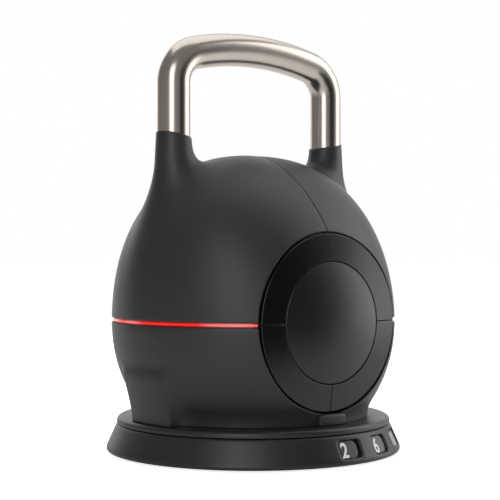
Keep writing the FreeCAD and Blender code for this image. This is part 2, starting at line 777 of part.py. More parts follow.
def light_carrier(side):
    """Curved shelf behind the light line, tied to the core frame by one post.
    The four shell mouldings are screwed to it from both sides."""
    high_z = shelf_low_z + carrier_t
    shelf = arc_band(side, carrier_out_r, carrier_out_r - carrier_wide, shelf_low_z, high_z,
                     carrier_half_angle)
    pad = arc_band(side, carrier_out_r, carrier_in_r, shelf_low_z, high_z,
                   carrier_pad_half_angle)
    post = disc(post_r, shelf_low_z, core_low_z, side * carrier_post_x)
    body = shelf.fuse([pad, post])
    body = cut_all(body, shell_screw_set(screw_r + screw_gap, shelf_low_z - 1, high_z + 1))
    return cut_all(body, carrier_screw_set(screw_r, core_low_z - carrier_screw_reach,
                                           core_low_z + 1))


def bezel_quarter(sign, turn):
    """One of the four segments of the conical bezel round a cap's disc."""
    inner_r = disc_r + disc_gap
    full = spun([(cap_r, 0.0), (inner_r, bezel_rise), (inner_r, bezel_rise - bezel_t),
                 (cap_r, -bezel_t)])
    low_z = backplate_y + backplate_t - bezel_y
    boss = turned(disc(bezel_boss_r, low_z, 0.0, bezel_screw_r), 45)
    hole = turned(disc(screw_r, low_z - 1, 0.0, bezel_screw_r), 45)
    half = bezel_seam / 2
    corner = block((half, half, -bezel_t - 10), (cap_r + 5, cap_r + 5, bezel_rise + 10))
    quarter = full.common(corner).fuse(boss).cut(hole)
    return placed_on_cap(turned(quarter, 90 * turn), sign, bezel_y)


def placed_on_cap(shape, sign, out_y):
    """Turn a piece made about +Z so that it faces along -Y or +Y at the cap's height."""
    shape.rotate(Vector(0, 0, 0), Vector(1, 0, 0), 90 if sign < 0 else -90)
    shape.translate(Vector(0, sign * out_y, groove_z))
    return shape


def cap_disc(sign):
    """Domed disc in the middle of a cap."""
    sphere_r = (disc_r ** 2 + disc_crown ** 2) / (2 * disc_crown)
    dome = Part.makeSphere(sphere_r, Vector(0, 0, disc_crown - sphere_r))
    body = dome.common(disc(disc_r, -disc_t, disc_crown + 1))
    holes = round_pattern(disc(screw_r, -disc_t - 1, 0.0, disc_screw_r), 4, 45)
    return placed_on_cap(body.cut(holes), sign, bezel_face_y)


def cap_backplate(sign):
    """Flat carrier behind a cap. Bezel segments and disc are screwed to it."""
    body = disc(opening_r - backplate_gap, 0, backplate_t)
    seat_z = bezel_face_y - disc_t - backplate_y
    body = body.fuse(ring(disc_seat_r, disc_seat_r - disc_seat_w, backplate_t / 2, seat_z))
    hole_r = screw_r + screw_gap
    holes = round_pattern(disc(hole_r, -1, backplate_t + 1, bezel_screw_r), 4, 45)
    holes += round_pattern(disc(hole_r, -1, backplate_t + 1, lug_screw_ring_r), 4, 45)
    holes += round_pattern(disc(hole_r, -1, seat_z + 1, disc_screw_r), 4, 45)
    return placed_on_cap(body.cut(holes), sign, backplate_y)


def cap_screws():
    """Screws of both caps: through each backplate into bezel, disc and shell lugs."""
    seat_z = bezel_face_y - disc_t - backplate_y
    into_bezel = disc(screw_head_r, -screw_head_t, 0, bezel_screw_r)
    into_bezel = into_bezel.fuse(disc(screw_r, -screw_head_t, bezel_y - backplate_y, bezel_screw_r))
    into_disc = disc(screw_head_r, -screw_head_t, 0, disc_screw_r)
    into_disc = into_disc.fuse(disc(screw_r, -screw_head_t, seat_z + disc_t - disc_cover, disc_screw_r))
    into_lug = disc(screw_head_r, backplate_t, backplate_t + screw_head_t, lug_screw_ring_r)
    into_lug = into_lug.fuse(disc(screw_r, -lug_t, backplate_t + screw_head_t, lug_screw_ring_r))
    screws = []
    for sign in (-1, 1):
        for screw in (into_bezel, into_disc, into_lug):
            for copy in round_pattern(screw, 4, 45):
                screws.append(placed_on_cap(copy, sign, backplate_y))
    return screws


def handle_path():
    """Axis of the bent tube: leg, bend, crowned grip, bend, leg."""
    grip_centre_z = grip_axis_z - grip_bend_r
    bend_x = leg_x - corner_r
    bend_z = grip_centre_z + math.sqrt((grip_bend_r - corner_r) ** 2 - bend_x ** 2)
    scale = grip_bend_r / (grip_bend_r - corner_r)
    join_x = bend_x * scale
    join_z = grip_centre_z + (bend_z - grip_centre_z) * scale
    middle_angle = math.atan2(bend_z - grip_centre_z, bend_x) / 2
    mid = (bend_x + corner_r * math.cos(middle_angle), bend_z + corner_r * math.sin(middle_angle))
    low_z = core_low_z + leg_seat_t
    right_leg = Part.makeLine(Vector(leg_x, 0, low_z), Vector(leg_x, 0, bend_z))
    right_bend = Part.Arc(Vector(leg_x, 0, bend_z), Vector(mid[0], 0, mid[1]),
                          Vector(join_x, 0, join_z)).toShape()
    grip = Part.Arc(Vector(join_x, 0, join_z), Vector(0, 0, grip_axis_z),
                    Vector(-join_x, 0, join_z)).toShape()
    left_bend = Part.Arc(Vector(-join_x, 0, join_z), Vector(-mid[0], 0, mid[1]),
                         Vector(-leg_x, 0, bend_z)).toShape()
    left_leg = Part.makeLine(Vector(-leg_x, 0, bend_z), Vector(-leg_x, 0, low_z))
    return Part.Wire([right_leg, right_bend, grip, left_bend, left_leg])


def handle_tube():
    path = handle_path()
    start = Vector(leg_x, 0, core_low_z + leg_seat_t)
    outer = path.makePipeShell([Part.Wire(Part.makeCircle(tube_r, start))], True, False)
    inner = path.makePipeShell([Part.Wire(Part.makeCircle(tube_r - tube_wall, start))], True, False)
    body = outer.cut(inner)
    return cut_all(body, cross_bolt_set(cross_bolt_r + cross_bolt_gap))


def cross_bolt_z():
    return core_low_z + leg_seat_t + (core_t - leg_seat_t) / 2


def cross_bolt_set(radius):
    reach = 2 * core_boss_r
    return [along_y(radius, side * leg_x, cross_bolt_z(), -reach, reach) for side in (-1, 1)]


def handle_bolts():
    """One cross bolt with its nut through each leg and its socket."""
    pieces = []
    for side in (-1, 1):
        x = side * leg_x
        z = cross_bolt_z()
        end_y = core_boss_r + cross_bolt_head_t
        bolt = along_y(cross_bolt_r, x, z, -core_boss_r, end_y)
        pieces.append(bolt.fuse(along_y(cross_bolt_head_r, x, z, -end_y, -core_boss_r)))
        pieces.append(along_y(cross_bolt_head_r, x, z, core_boss_r, end_y).cut(bolt))
    return pieces


def core_frame():
    """Cast beam inside the ball. Handle legs, spindle and shell all fasten to it."""
    body = block((-leg_x, -core_half_w, core_low_z), (leg_x, core_half_w, core_top_z))
    body = body.fuse(disc(core_hub_r, core_low_z, core_top_z))
    for side in (-1, 1):
        boss = disc(core_boss_r, core_low_z, core_top_z, side * leg_x)
        flat = block((side * leg_x - core_flat_half, -core_boss_r, core_low_z + 1),
                     (side * leg_x + core_flat_half, core_boss_r, core_top_z))
        low_x, high_x = sorted((side * (leg_x + tube_r), side * (carrier_post_x + ear_out)))
        ear = block((low_x, -ear_w / 2, core_low_z), (high_x, ear_w / 2, core_low_z + ear_t))
        ear = ear.common(ball(shell_wall + ear_clear, core_low_z - 1))
        body = body.fuse([boss, flat, ear])
    for side in (-1, 1):
        body = body.cut(disc(tube_r + leg_gap, core_low_z + leg_seat_t, core_top_z + 1,
                             side * leg_x))
    body = cut_all(body, cross_bolt_set(cross_bolt_r + cross_bolt_gap))
    body = body.cut(disc(spindle_r - spindle_wall, core_low_z - 1, core_top_z + 1))
    ear_top_z = core_low_z + ear_t
    body = cut_all(body, carrier_screw_set(screw_r + screw_gap, core_low_z - 1, ear_top_z + 1))
    body = cut_all(body, carrier_screw_set(screw_head_r + screw_gap, ear_top_z, core_top_z + 1))
    return cut_all(body, spindle_screw_set(spindle_screw_r, core_low_z - 1,
                                           core_low_z + spindle_screw_reach))


def carrier_screw_set(radius, low_z, high_z):
    return [disc(radius, low_z, high_z, side * carrier_post_x) for side in (-1, 1)]


def carrier_screws():
    """One screw from above through each ear of the core frame into a carrier's post."""
    seat_z = core_low_z + ear_t
    heads = carrier_screw_set(screw_head_r, seat_z, seat_z + screw_head_t)
    shanks = carrier_screw_set(screw_r, core_low_z - carrier_screw_reach, seat_z + screw_head_t)
    return [head.fuse(shank) for head, shank in zip(heads, shanks)]


def spindle_screw_set(radius, low_z, high_z):
    screw = disc(radius, low_z, high_z, spindle_flange_r - spindle_screw_inset)
    return round_pattern(screw, 4, 45)


def selector_spindle():
    """Steel tube with a flange on top and a pair of tabs for each plate."""
    low_z = deck_z - spindle_end
    body = disc(spindle_r, low_z, core_low_z)
    body = body.fuse(disc(spindle_flange_r, core_low_z - spindle_flange_t, core_low_z))
    tabs = []
    for index in range(plate_count):
        plate_low = stack_top_z - (index + 1) * plate_t
        high = plate_low + plate_pocket_h - tab_lift_gap
        disc_tab = ring(tab_r, spindle_r - 1, high - tab_t, high)
        for start in (0.0, 180.0):
            tabs.append(disc_tab.common(wedge(start, tab_half_angle, plate_r, low_z, core_low_z)))
    body = body.fuse(tabs)
    body = body.cut(disc(spindle_r - spindle_wall, low_z - 1, core_low_z + 1))
    return cut_all(body, spindle_screw_set(spindle_screw_r + screw_gap,
                                           core_low_z - spindle_flange_t - 1, core_low_z + 1))


def spindle_screws():
    low_z = core_low_z - spindle_flange_t
    heads = spindle_screw_set(screw_head_r, low_z - screw_head_t, low_z)
    shanks = spindle_screw_set(spindle_screw_r, low_z - screw_head_t,
                               core_low_z + spindle_screw_reach)
    return [head.fuse(shank) for head, shank in zip(heads, shanks)]


def battery_tray():
    wide, deep, tall = battery_size
    half_x, half_y = wide / 2 + tray_t, deep / 2 + tray_t
    body = block((-half_x, -half_y, core_top_z), (half_x, half_y, core_top_z + tall * tray_share))
    half_x, half_y = wide / 2 + battery_gap, deep / 2 + battery_gap
    return body.cut(block((-half_x, -half_y, core_top_z + tray_t),
                          (half_x, half_y, core_top_z + tray_t + tall)))


def battery_pack():
    wide, deep, tall = battery_size
    low_z = core_top_z + tray_t
    body = block((-wide / 2, -deep / 2, low_z), (wide / 2, deep / 2, low_z + tall))
    long_edges = [edge for edge in body.Edges if edge.BoundBox.XLength > wide - battery_round]
    return body.makeFillet(battery_round, long_edges)


def board_z():
    return core_top_z + tray_t + battery_size[2] + board_gap


def board_posts():
    """Four pillars on the tray that hold the board over the battery pack."""
    wide, deep = board_size[0], board_size[1]
    posts = []
    for side_x in (-1, 1):
        for side_y in (-1, 1):
            posts.append(disc(board_post_r, core_top_z, board_z(),
                              side_x * (wide / 2 - board_post_inset),
                              side_y * (deep / 2 - board_post_inset)))
    return posts


def control_board():
    wide, deep, thick = board_size
    low_z = board_z()
    body = block((-wide / 2, -deep / 2, low_z), (wide / 2, deep / 2, low_z + thick))
    top_z = low_z + thick
    for x, y, length, width, height in chips:
        body = body.fuse(block((x - length / 2, y - width / 2, top_z),
                               (x + length / 2, y + width / 2, top_z + height)))
    return body


def build():
    os.makedirs("parts", exist_ok=True)
    save("base_skirt", base_skirt())
    save("base_floor", base_floor())
    save("base_screws", base_screws())
    save("base_feet", base_feet())
    save("number_strip", number_strip())
    save("slide_ring", slide_ring())
    save("pedestal", pedestal())
    save("pedestal_screws", pedestal_screws())
    for index in range(plate_count):
        save("weight_plate_%d" % (index + 1), weight_plate(index))
    save("plate_dowels", plate_dowels())
    save("base_magnets", base_magnets())

    save("turntable_plate", turntable_plate())
    save("retaining_ring", retaining_ring())
    save("retaining_screws", retaining_screws())
    save("drive_keys", drive_key_set(key_r, turntable_low_z - key_depth, turntable_top_z + key_h))
    save("turntable_magnet", turntable_magnet())
    save("index_mark", index_mark())

    blank = shell_blank()
    for side, word in ((-1, "left"), (1, "right")):
        save("upper_shell_" + word, shell_quarter(blank, side, True))
        save("lower_shell_" + word, shell_quarter(blank, side, False))
        save("light_guide_" + word, light_guide(side))
        save("led_strip_" + word, led_strip(side))
        save("light_carrier_" + word, light_carrier(side))
    for sign, word in ((-1, "front"), (1, "rear")):
        save(word + "_foot", cap_foot(sign))
        save(word + "_cap_disc", cap_disc(sign))
        save(word + "_cap_backplate", cap_backplate(sign))
        for turn in range(4):
            save("%s_bezel_%d" % (word, turn + 1), bezel_quarter(sign, turn))
    save("cap_screws", cap_screws())
    save("shell_screws", shell_screws())
    save("carrier_screws", carrier_screws())
    save("handle_tube", handle_tube())
    save("handle_bolts", handle_bolts())
    save("core_frame", core_frame())
    save("selector_spindle", selector_spindle())
    save("spindle_screws", spindle_screws())
    save("battery_tray", battery_tray())
    save("battery_pack", battery_pack())
    save("board_posts", board_posts())
    save("control_board", control_board())


build()
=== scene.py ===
import bmesh
import bpy
import math
import numpy as np
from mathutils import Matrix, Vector


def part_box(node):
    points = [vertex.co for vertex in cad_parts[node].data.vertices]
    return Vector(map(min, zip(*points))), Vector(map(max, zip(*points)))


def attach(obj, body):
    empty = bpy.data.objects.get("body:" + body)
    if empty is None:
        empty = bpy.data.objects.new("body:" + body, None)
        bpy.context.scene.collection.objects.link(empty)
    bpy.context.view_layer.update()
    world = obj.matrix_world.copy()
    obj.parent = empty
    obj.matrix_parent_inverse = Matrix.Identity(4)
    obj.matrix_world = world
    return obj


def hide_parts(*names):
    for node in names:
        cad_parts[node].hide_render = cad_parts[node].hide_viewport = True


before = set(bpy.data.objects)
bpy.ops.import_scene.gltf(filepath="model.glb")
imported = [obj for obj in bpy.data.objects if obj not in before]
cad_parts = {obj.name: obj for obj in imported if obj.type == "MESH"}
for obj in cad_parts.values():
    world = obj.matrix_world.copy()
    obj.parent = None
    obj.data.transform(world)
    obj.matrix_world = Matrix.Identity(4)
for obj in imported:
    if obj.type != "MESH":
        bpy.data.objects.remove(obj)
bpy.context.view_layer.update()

# ---- Rubber feet -----------------------------------------------------------------
# Six round moulded rubber pads pressed into the floor plate. Black rubber is dull, a
# little dusty and slightly rough, so it takes almost no highlight.
mm = 0.001


def srgb(code):
    """Linear colour of an sRGB hex value."""
    channels = [int(code[i:i + 2], 16) / 255 for i in (0, 2, 4)]
    return [c / 12.92 if c <= 0.04045 else ((c + 0.055) / 1.055) ** 2.4 for c in channels] + [1.0]


def put(tree, kind, settings=None, values=None, links=None):
    """Add one node with its properties, its sockets' values and what is linked to them."""
    made = tree.nodes.new(kind)
    for name, value in (settings or {}).items():
        setattr(made, name, value)
    for socket, value in (values or {}).items():
        made.inputs[socket].default_value = value
    for socket, source in (links or {}).items():
        tree.links.new(source, made.inputs[socket])
    return made


def surface(name, colour, other, rough, rough_spread, patch, grain, depth, metal=0.0,
            stretch=(1.0, 1.0, 1.0), extra=None):
    """Material with two close colours in soft patches, uneven gloss and a fine raised grain.
    patch and grain are pattern sizes and depth the grain's height, all in metres."""
    made = bpy.data.materials.new(name)
    made.use_nodes = True
    tree = made.node_tree
    shader = tree.nodes["Principled BSDF"]
    place = put(tree, "ShaderNodeTexCoord")
    scaled = put(tree, "ShaderNodeMapping", values={"Scale": stretch},
                 links={"Vector": place.outputs["Object"]})
    cloud = put(tree, "ShaderNodeTexNoise", values={"Scale": 1 / patch, "Detail": 3.0},
                links={"Vector": scaled.outputs["Vector"]})
    speck = put(tree, "ShaderNodeTexNoise", values={"Scale": 1 / grain, "Detail": 2.0},
                links={"Vector": scaled.outputs["Vector"]})
    tint = put(tree, "ShaderNodeMix", {"data_type": "RGBA"},
               {"A": srgb(colour), "B": srgb(other)}, {"Factor": cloud.outputs["Fac"]})
    gloss = put(tree, "ShaderNodeMapRange", values={"To Min": rough - rough_spread,
                                                    "To Max": rough + rough_spread},
                links={"Value": cloud.outputs["Fac"]})
    raised = put(tree, "ShaderNodeBump", values={"Strength": 1.0, "Distance": depth},
                 links={"Height": speck.outputs["Fac"]})
    tree.links.new(tint.outputs["Result"], shader.inputs["Base Color"])
    tree.links.new(gloss.outputs["Result"], shader.inputs["Roughness"])
    tree.links.new(raised.outputs["Normal"], shader.inputs["Normal"])
    shader.inputs["Metallic"].default_value = metal
    for socket, value in (extra or {}).items():
        shader.inputs[socket].default_value = value
    return made


def piece(name, points, faces, material, body, nodes=(), crease=35.0):
    """Mesh object, smooth apart from its creases, that rides on a body."""
    mesh = bpy.data.meshes.new(name)
    mesh.from_pydata([tuple(p) for p in points], [], [tuple(f) for f in faces])
    mesh.validate()
    mesh.shade_smooth()
    mesh.set_sharp_from_angle(angle=math.radians(crease))
    mesh.materials.append(material)
    made = bpy.data.objects.new(name, mesh)
    bpy.context.scene.collection.objects.link(made)
    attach(made, body)
    if nodes:
        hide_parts(*nodes)
    return made


def dress(node, material):
    """Give a CAD node's object a material of its own."""
    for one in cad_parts[node].material_slots:
        one.material = material


rubber = surface("moulded_rubber", "1c1c1c", "262524", 0.78, 0.06, 9 * mm, 0.5 * mm, 0.03 * mm)
dress("base_feet", rubber)

# ---- Floor plate and its screws --------------------------------------------------
# Round plate moulded in glass-filled nylon, greyish and faintly grainy, that closes the
# base from below. Its screws and all others are zinc-plated steel, pale and bright.
floor_nylon = surface("glass_filled_nylon", "1b1b1c", "232323", 0.55, 0.05, 14 * mm, 0.7 * mm,
                      0.03 * mm)
zinc = surface("zinc_plated_steel", "a7a9ab", "8f9296", 0.32, 0.07, 3 * mm, 0.4 * mm, 0.006 * mm,
               metal=1.0)
dress("base_floor", floor_nylon)
for name in ("base_screws", "pedestal_screws", "retaining_screws", "spindle_screws",
             "shell_screws", "carrier_screws", "cap_screws"):
    dress(name, zinc)

# ---- Base skirt ------------------------------------------------------------------
# Flared ring moulded in satin black ABS, which shows broad soft highlights. Number
# windows are cut through its wall, and its inward flange carries the turntable.
skirt_low, skirt_high = (corner.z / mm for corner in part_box("base_skirt"))
skirt_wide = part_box("base_skirt")[1].x / mm
least_slope = 0.05


def soft_min(a, b, width):
    """Union of two distance fields with a rounded inner corner."""
    share = np.clip(width - np.abs(a - b), 0, None) / width
    return np.minimum(a, b) - share * share * width / 4


def soft_max(a, b, width):
    """What two distance fields share, with a rounded outer edge."""
    return -soft_min(-a, -b, width)


def gradient(field, points, step=0.01):
    """Direction in which a distance field grows, at each point."""
    parts = []
    for axis in range(3):
        shift = np.zeros(3)
        shift[axis] = step
        parts.append(field(*(points + shift).T) - field(*(points - shift).T))
    return np.stack(parts, 1) / (2 * step)


def settle(field, points, rounds):
    """Move points on to the field's zero surface."""
    for _ in range(rounds):
        slope = gradient(field, points)
        length = np.maximum((slope * slope).sum(1), least_slope)
        points = points - slope * (field(*points.T) / length)[:, None]
    return points


def skin(field, low, high, step, rounds=6):
    """Even quad mesh of a distance field's zero surface, in millimetres."""
    axes = [np.arange(low[i], high[i] + step, step) for i in range(3)]
    values = field(*np.meshgrid(*axes, indexing="ij"))
    inside = values < 0
    corners = [inside[i:inside.shape[0] - 1 + i, j:inside.shape[1] - 1 + j,
                      k:inside.shape[2] - 1 + k] for i in (0, 1) for j in (0, 1) for k in (0, 1)]
    crossed = np.logical_or.reduce(corners) & ~np.logical_and.reduce(corners)
    number = np.full(crossed.shape, -1)
    number[crossed] = np.arange(crossed.sum())
    points = np.argwhere(crossed) * step + np.array(low) + step / 2
    faces = []
    for axis in range(3):
        u, v = (axis + 1) % 3, (axis + 2) % 3
        here = np.moveaxis(inside, (axis, u, v), (0, 1, 2))
        cells = np.moveaxis(number, (axis, u, v), (0, 1, 2))
        for leaving in (True, False):
            edge = (here[:-1] == leaving) & (here[1:] != leaving)
            i, j, k = np.nonzero(edge[:, 1:-1, 1:-1])
            ring = [cells[i, j, k], cells[i, j + 1, k], cells[i, j + 1, k + 1], cells[i, j, k + 1]]
            faces.append(np.stack(ring if leaving else ring[::-1], 1))
    faces = np.concatenate(faces)
    ends = np.concatenate([faces[:, [0, 1]], faces[:, [1, 2]], faces[:, [2, 3]], faces[:, [3, 0]]])
    points = settle(field, points, 3)
    for _ in range(rounds):
        total = np.zeros_like(points)
        count = np.zeros(len(points))
        np.add.at(total, ends[:, 0], points[ends[:, 1]])
        np.add.at(count, ends[:, 0], 1)
        points = settle(field, 0.5 * points + 0.5 * total / count[:, None], 1)
    return settle(field, points, 3), faces


skirt_top_r = 117.9
widest_height = 4.8
skirt_slope = (skirt_wide - skirt_top_r) / (skirt_high - widest_height)
square_to_wall = 0.91
low_round, top_round, inner_round = 5.0, 1.6, 1.0
skirt_wall = 3.6
room_low = -6.0
lip_tall, lip_wall = 6.0, 4.4
flange_bore = 100.0
track_r, track_half, track_deep, track_round = 106.5, 3.5, 1.9, 0.4
windows = 6
window_pitch = 18.5
window_half = (11.5, 7.0)
window_round = 3.2
window_height = 13.6
window_edge = 1.2
window_from, far_off = 104, 30.0


def skirt_field(x, y, z):
    """Wall and flange of the skirt as a distance field."""
    reach = np.hypot(x, y)
    outer = (reach - skirt_wide + skirt_slope * (z - widest_height)) * square_to_wall
    outer = soft_max(outer, skirt_low - z, low_round)
    outer = soft_max(outer, z - skirt_high, top_round)
    room = soft_max(outer + skirt_wall, z - (skirt_high - skirt_wall), top_round)
    room = np.maximum(room, room_low - z)
    below = np.where(z < skirt_low + lip_tall, reach - (skirt_wide - lip_wall), room)
    body = soft_max(outer, -np.minimum(room, below), inner_round)
    body = soft_max(body, flange_bore - reach, inner_round)
    track = np.maximum(np.abs(reach - track_r) - track_half, (skirt_high - track_deep) - z)
    body = soft_max(body, -track, track_round)
    turn = np.radians(window_pitch)
    azimuth = np.arctan2(x, -y)
    nearest = np.clip(np.round(azimuth / turn), 0, windows - 1) * turn
    along = np.abs(azimuth - nearest) * reach
    side = np.maximum(along - window_half[0] + window_round, 0)
    rise = np.maximum(np.abs(z - window_height) - window_half[1] + window_round, 0)
    hole = np.hypot(side, rise) - window_round
    hole = np.where(reach > window_from, hole, far_off)
    return soft_max(body, -hole, window_edge)


satin_abs = surface("satin_moulded_abs", "1b1b1c", "1f1f20", 0.42, 0.04, 30 * mm, 0.35 * mm,
                    0.008 * mm)
skirt_step = 1.5
skirt_room = ((-129, -129, -0.8), (129, 129, 27))
points, faces = skin(skirt_field, *skirt_room, skirt_step)
piece("skirt_moulding", points * mm, faces, satin_abs, "base", ["base_skirt"], 60.0)

# ---- Number strip and its numerals -----------------------------------------------
# Strip of matt polycarbonate bent to a cone behind the windows, with a pad that fills
# most of each window. The settings are printed on the pads in heavy white ink.
strip_black = surface("matt_polycarbonate", "303031", "363637", 0.4, 0.05, 12 * mm, 0.4 * mm,
                      0.008 * mm)
white_ink = surface("white_screen_ink", "e9e9e8", "dfdfde", 0.5, 0.05, 4 * mm, 0.3 * mm, 0.005 * mm)
band_behind = 4.4
band_t = 1.2
band_low, band_high = 5.6, 20.6
band_first, band_last = -22.0, 213.0
band_steps = 120
pad_first, pad_last = -10.9, 7.4
pad_half = 6.3
pad_round = 5.0
pad_behind = 0.9
pad_root = 0.4


def skirt_reach(height):
    """Radius of the skirt's outside at a height."""
    return skirt_wide - skirt_slope * (height - widest_height)


def curved_pad(middle, first, last, low_high, front, back, steps=60):
    """Strip that follows the skirt, between two distances behind its surface. first and last
    count along the skirt from the middle azimuth, low_high gives the height range at a place."""
    points, faces = [], []
    for step in range(steps + 1):
        along = first + (last - first) * step / steps
        azimuth = middle + along / skirt_reach(window_height)
        low, high = low_high(along)
        for height, depth in ((low, front), (high, front), (high, back), (low, back)):
            reach = skirt_reach(height) - depth
            points.append((reach * math.sin(azimuth), -reach * math.cos(azimuth), height))
    for step in range(steps):
        for k in range(4):
            a, b = 4 * step + k, 4 * step + (k + 1) % 4
            faces.append((a, a + 4, b + 4, b))
    faces += [(0, 1, 2, 3), tuple(4 * steps + k for k in (3, 2, 1, 0))]
    return points, faces


def pad_span(along):
    """Height range of a pad, which is rounded at its far end."""
    over = max(0.0, along - (pad_last - pad_round))
    half = pad_half - pad_round + math.sqrt(max(pad_round ** 2 - over ** 2, 0.01))
    return window_height - half, window_height + half


points, faces = curved_pad(0.0, band_first, band_last, lambda along: (band_low, band_high),
                           band_behind, band_behind + band_t, band_steps)
for index in range(windows):
    pad, ring = curved_pad(math.radians(index * window_pitch), pad_first, pad_last, pad_span,
                           pad_behind, band_behind + pad_root)
    faces += [tuple(i + len(points) for i in face) for face in ring]
    points += pad
piece("number_band", np.array(points) * mm, faces, strip_black, "base",
      ["number_strip"])
figure_height = 11.4 * mm
capital_share = 0.73
figure_bold = 0.35 * mm
figure_closeness = 0.95
figure_narrow = 0.9
figure_shift = math.radians(-3.0)
ink_height = 0.12 * mm


def printed(text, azimuth):
    """Figures bent round the strip, as points and faces, with their middle at an azimuth."""
    curve = bpy.data.curves.new("figure", "FONT")
    curve.body = text
    curve.size = figure_height / capital_share
    curve.align_x = "CENTER"
    curve.offset = figure_bold
    curve.extrude = ink_height
    curve.space_character = figure_closeness
    figure = bpy.data.objects.new("figure", curve)
    bpy.context.scene.collection.objects.link(figure)
    bpy.context.view_layer.update()
    flat = bpy.data.meshes.new_from_object(figure)
    bent = []
    for vert in flat.vertices:
        height = window_height * mm - figure_height / 2 + vert.co.y
        reach = (skirt_reach(height / mm) - pad_behind) * mm + vert.co.z + 0.5 * ink_height
        turn = azimuth + figure_narrow * vert.co.x / reach
        bent.append((reach * math.sin(turn), -reach * math.cos(turn), height))
    faces = [tuple(face.vertices) for face in flat.polygons]
    bpy.data.objects.remove(figure)
    return bent, faces


points, faces = [], []
for index in range(windows):
    bent, ring = printed(str(2 + 4 * index), math.radians(index * window_pitch) + figure_shift)
    faces += [tuple(i + len(points) for i in face) for face in ring]
    points += bent
piece("setting_figures", points, faces, white_ink, "base")

# ---- Slide ring, magnets, pedestal -----------------------------------------------
# Milky acetal ring that the turntable turns on, bright nickel-plated detent magnets in
# the flange, and the cast-iron pedestal, painted black and uneven, under the plates.
acetal = surface("natural_acetal", "e2dfd6", "d8d5cb", 0.4, 0.04, 10 * mm, 0.5 * mm, 0.006 * mm)
nickel = surface("nickel_plate", "c9c5bd", "bcb8b0", 0.22, 0.05, 2 * mm, 0.3 * mm, 0.003 * mm,
                 metal=1.0)
painted_iron = surface("painted_cast_iron", "1d1e1f", "2a2b2c", 0.5, 0.1, 6 * mm, 1.2 * mm,
                       0.18 * mm)
dress("slide_ring", acetal)
dress("base_magnets", nickel)
dress("turntable_magnet", nickel)
dress("pedestal", painted_iron)

# ---- Weight plates and dowels ----------------------------------------------------
# Five turned steel discs with a black-oxide finish, stacked on ground dowels. The
# oxide is dark and slightly blue, and the turning marks run round each plate.
black_oxide = surface("black_oxide_steel", "3a3b3e", "2c2d30", 0.36, 0.07, 5 * mm, 0.9 * mm,
                      0.02 * mm, metal=1.0, stretch=(0.25, 0.25, 3.0))
ground_steel = surface("ground_steel", "b3b4b6", "a2a3a6", 0.25, 0.05, 2 * mm, 0.3 * mm,
                       0.004 * mm, metal=1.0)
for index in range(5):
    dress("weight_plate_%d" % (index + 1), black_oxide)
dress("plate_dowels", ground_steel)
dress("drive_keys", ground_steel)

# ---- Turntable -------------------------------------------------------------------
# Round top plate of the base in satin black ABS with a rounded rim, held down by a
# pressed steel ring. A dull red plug in its top marks the chosen setting.
pressed_steel = surface("pressed_steel", "9b9da0", "8b8d91", 0.35, 0.06, 4 * mm, 0.5 * mm,
                        0.01 * mm, metal=1.0)
red_abs = surface("dull_red_abs", "6b2327", "5c1f22", 0.5, 0.05, 2 * mm, 0.2 * mm, 0.004 * mm)
dress("turntable_plate", satin_abs)
dress("retaining_ring", pressed_steel)
dress("index_mark", red_abs)

# ---- Core frame and selector spindle ---------------------------------------------
# Die-cast aluminium beam across the ball, matt and pale, bolted to the handle's legs,
# and the turned steel spindle under it, finely ringed, whose tabs take up the plates.
cast_aluminium = surface("die_cast_aluminium", "b4b5b7", "a3a5a8", 0.45, 0.07, 7 * mm, 0.8 * mm,
                         0.05 * mm, metal=1.0)
turned_steel = surface("turned_steel", "a6a7aa", "939599", 0.3, 0.05, 3 * mm, 0.5 * mm,
                       0.008 * mm, metal=1.0, stretch=(0.3, 0.3, 4.0))
dress("core_frame", cast_aluminium)
dress("selector_spindle", turned_steel)
dress("handle_bolts", zinc)

# ---- Battery, board and lamps ----------------------------------------------------
# Lithium pack in blue shrink wrap in its moulded tray, a green circuit board on
# four brass pillars, and the two lamp strips behind the light line.
inner_nylon = surface("black_nylon", "1e1e1f", "262627", 0.6, 0.05, 9 * mm, 0.6 * mm, 0.02 * mm)
shrink_wrap = surface("blue_shrink_wrap", "1f4f8f", "1a447c", 0.25, 0.06, 6 * mm, 1.5 * mm,
                      0.04 * mm)
solder_mask = surface("green_solder_mask", "12502b", "0f4424", 0.3, 0.05, 3 * mm, 0.5 * mm,
                      0.01 * mm)
brass = surface("brass", "c9a55b", "b9954d", 0.28, 0.05, 2 * mm, 0.3 * mm, 0.004 * mm, metal=1.0)
for name in ("battery_tray", "light_carrier_left", "light_carrier_right", "front_cap_backplate",
             "rear_cap_backplate"):
    dress(name, inner_nylon)
dress("battery_pack", shrink_wrap)
dress("control_board", solder_mask)
dress("led_strip_left", solder_mask)
dress("led_strip_right", solder_mask)
dress("board_posts", brass)

# ---- Light line ------------------------------------------------------------------
# Moulded acrylic light guides whose thin edge fills the groove round the ball. Lit
# from behind they glow red along the middle, paler where a lamp stands close behind.
lamp_spacing = 34 * mm
dark_end = 94 * mm
guide_middle = (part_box("lower_shell_left")[1].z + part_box("upper_shell_left")[0].z) / 2
dark_fade = 0.7
core_half, border_half = 0.35 * mm, 1.5 * mm
border_glow = 0.12
lamp_far, lamp_near = 0.56, 0.72


